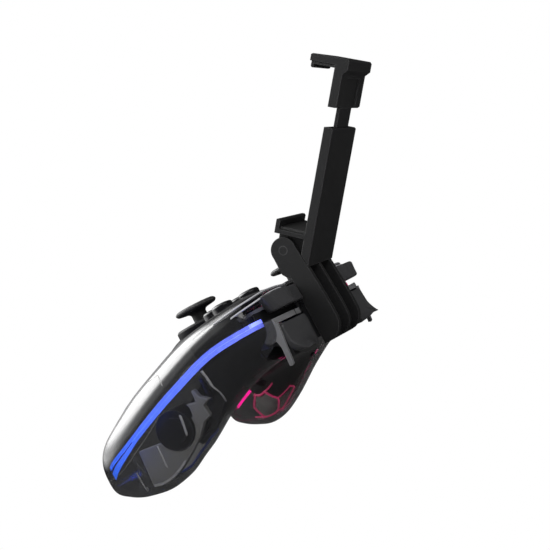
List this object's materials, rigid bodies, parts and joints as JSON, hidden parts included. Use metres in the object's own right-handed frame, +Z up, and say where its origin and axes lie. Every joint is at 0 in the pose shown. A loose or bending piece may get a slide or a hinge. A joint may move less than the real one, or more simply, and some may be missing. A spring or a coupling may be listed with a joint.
{
  "type": "mobile game controller",
  "caption": "Smoked clear game controller with lit handles, thumb sticks, buttons, triggers and a folding spring clip that holds a telephone above it.",
  "frame": {"origin": "middle of the resting controller, on the table", "axes": "+X to the player's right, +Y forwards from the player, +Z up"},
  "size_m": [0.152, 0.1936, 0.091],
  "materials": {
    "smoked_clear": "gloss",
    "frame_grey": "gloss",
    "light_blue": "frosted",
    "light_magenta": "frosted",
    "board_green": "satin",
    "cell_foil": "satin",
    "motor_black": "satin",
    "steel": "brushed",
    "bracket_grey": "satin",
    "black_gloss": "gloss",
    "black_satin": "satin",
    "black_rubber": "matte",
    "mat_silicone": "matte",
    "smoked_grey": "gloss"
  },
  "bodies": {
    "pad": {"front_shell": "smoked_clear", "rear_shell": "smoked_clear", "shoulder_frame": "frame_grey", "light_right": "light_blue", "light_left": "light_magenta", "circuit_board": "board_green", "battery": "cell_foil", "motor_right": "motor_black", "motor_left": "motor_black", "cradles": "bracket_grey", "stick_collars": "black_gloss", "stick_modules": "black_satin", "button_mats": "mat_silicone", "dpad_base": "black_satin", "usb_socket": "steel", "case_screws": "steel", "saddle": "black_satin", "saddle_screws": "steel", "hinge_pin": "steel"},
    "gimbal_right": {"ring_right": "steel"},
    "thumb_right": {"stick_right": "black_rubber"},
    "gimbal_left": {"ring_left": "steel"},
    "thumb_left": {"stick_left": "black_rubber"},
    "dpad_rocker": {"dpad_pivot": "steel"},
    "dpad": {"dpad": "black_gloss"},
    "key_south": {"button_south": "black_gloss"},
    "key_east": {"button_east": "black_gloss"},
    "key_west": {"button_west": "black_gloss"},
    "key_north": {"button_north": "black_gloss"},
    "key_menu_right": {"menu_right": "black_gloss"},
    "key_menu_left": {"menu_left": "black_gloss"},
    "key_home": {"home_button": "black_gloss"},
    "bumper_right": {"bumper_right": "smoked_grey"},
    "bumper_left": {"bumper_left": "smoked_grey"},
    "trigger_right": {"trigger_right": "smoked_grey"},
    "trigger_left": {"trigger_left": "smoked_grey"},
    "spinner_right": {"weight_right": "steel"},
    "spinner_left": {"weight_left": "steel"},
    "clip_stem": {"stem": "black_satin", "jaw_pad_lower": "black_rubber", "back_pad": "black_rubber"},
    "clip_jaw": {"upper_jaw": "black_satin", "jaw_pad_upper": "black_rubber"}
  },
  "joints": [
    {"name": "stick_right_tilt_fore_aft", "type": "hinge", "parent": "pad", "child": "gimbal_right", "pos_m": [0.019, -0.03657, 0.03788], "axis": [1, 0, 0], "range_deg": [-14, 14], "stiffness_Nm_per_rad": 0.05},
    {"name": "stick_right_tilt_side", "type": "hinge", "parent": "gimbal_right", "child": "thumb_right", "pos_m": [0.019, -0.03657, 0.03788], "axis": [0, 0.9501, -0.312], "range_deg": [-14, 14], "stiffness_Nm_per_rad": 0.05},
    {"name": "stick_left_tilt_fore_aft", "type": "hinge", "parent": "pad", "child": "gimbal_left", "pos_m": [-0.04, -0.01187, 0.02976], "axis": [1, 0, 0], "range_deg": [-14, 14], "stiffness_Nm_per_rad": 0.05},
    {"name": "stick_left_tilt_side", "type": "hinge", "parent": "gimbal_left", "child": "thumb_left", "pos_m": [-0.04, -0.01187, 0.02976], "axis": [0, 0.9501, -0.312], "range_deg": [-14, 14], "stiffness_Nm_per_rad": 0.05},
    {"name": "dpad_rock_fore_aft", "type": "hinge", "parent": "pad", "child": "dpad_rocker", "pos_m": [-0.019, -0.0361, 0.0393], "axis": [1, 0, 0], "range_deg": [-5, 5], "stiffness_Nm_per_rad": 0.2},
    {"name": "dpad_rock_side", "type": "hinge", "parent": "dpad_rocker", "child": "dpad", "pos_m": [-0.019, -0.0361, 0.0393], "axis": [0, 0.9501, -0.312], "range_deg": [-5, 5], "stiffness_Nm_per_rad": 0.2},
    {"name": "press_south", "type": "slide", "parent": "pad", "child": "key_south", "axis": [0, -0.312, -0.9501], "range_m": [0, 0.001], "stiffness_N_per_m": 450},
    {"name": "press_east", "type": "slide", "parent": "pad", "child": "key_east", "axis": [0, -0.312, -0.9501], "range_m": [0, 0.001], "stiffness_N_per_m": 450},
    {"name": "press_west", "type": "slide", "parent": "pad", "child": "key_west", "axis": [0, -0.312, -0.9501], "range_m": [0, 0.001], "stiffness_N_per_m": 450},
    {"name": "press_north", "type": "slide", "parent": "pad", "child": "key_north", "axis": [0, -0.312, -0.9501], "range_m": [0, 0.001], "stiffness_N_per_m": 450},
    {"name": "press_menu_right", "type": "slide", "parent": "pad", "child": "key_menu_right", "axis": [0, -0.312, -0.9501], "range_m": [0, 0.0006], "stiffness_N_per_m": 450},
    {"name": "press_menu_left", "type": "slide", "parent": "pad", "child": "key_menu_left", "axis": [0, -0.312, -0.9501], "range_m": [0, 0.0006], "stiffness_N_per_m": 450},
    {"name": "press_home", "type": "slide", "parent": "pad", "child": "key_home", "axis": [0, -0.312, -0.9501], "range_m": [0, 0.0006], "stiffness_N_per_m": 450},
    {"name": "bumper_right_click", "type": "hinge", "parent": "pad", "child": "bumper_right", "pos_m": [0.0215, 0.0065, 0.02479], "axis": [0, 0.312, 0.9501], "range_deg": [-2, 0], "stiffness_Nm_per_rad": 3},
    {"name": "bumper_left_click", "type": "hinge", "parent": "pad", "child": "bumper_left", "pos_m": [-0.0215, 0.0065, 0.02479], "axis": [0, 0.312, 0.9501], "range_deg": [0, 2], "stiffness_Nm_per_rad": 3},
    {"name": "trigger_right_pull", "type": "hinge", "parent": "pad", "child": "trigger_right", "pos_m": [0.041, -0.00089, 0.01511], "axis": [1, 0, 0], "range_deg": [-16, 0], "stiffness_Nm_per_rad": 0.3},
    {"name": "trigger_left_pull", "type": "hinge", "parent": "pad", "child": "trigger_left", "pos_m": [-0.041, -0.00089, 0.01511], "axis": [1, 0, 0], "range_deg": [-16, 0], "stiffness_Nm_per_rad": 0.3},
    {"name": "rumble_right_spin", "type": "hinge", "parent": "pad", "child": "spinner_right", "pos_m": [0.046, -0.05624, 0.01644], "axis": [1, 0, 0], "continuous": true},
    {"name": "rumble_left_spin", "type": "hinge", "parent": "pad", "child": "spinner_left", "pos_m": [-0.046, -0.05624, 0.01644], "axis": [1, 0, 0], "continuous": true},
    {"name": "clip_fold", "type": "hinge", "parent": "pad", "child": "clip_stem", "pos_m": [0, 0.01647, 0.04267], "axis": [1, 0, 0], "range_deg": [0, 80]},
    {"name": "clip_open", "type": "slide", "parent": "clip_stem", "child": "clip_jaw", "axis": [0, 0.8497, 0.5273], "range_m": [-0.008, 0.018]}
  ]
}
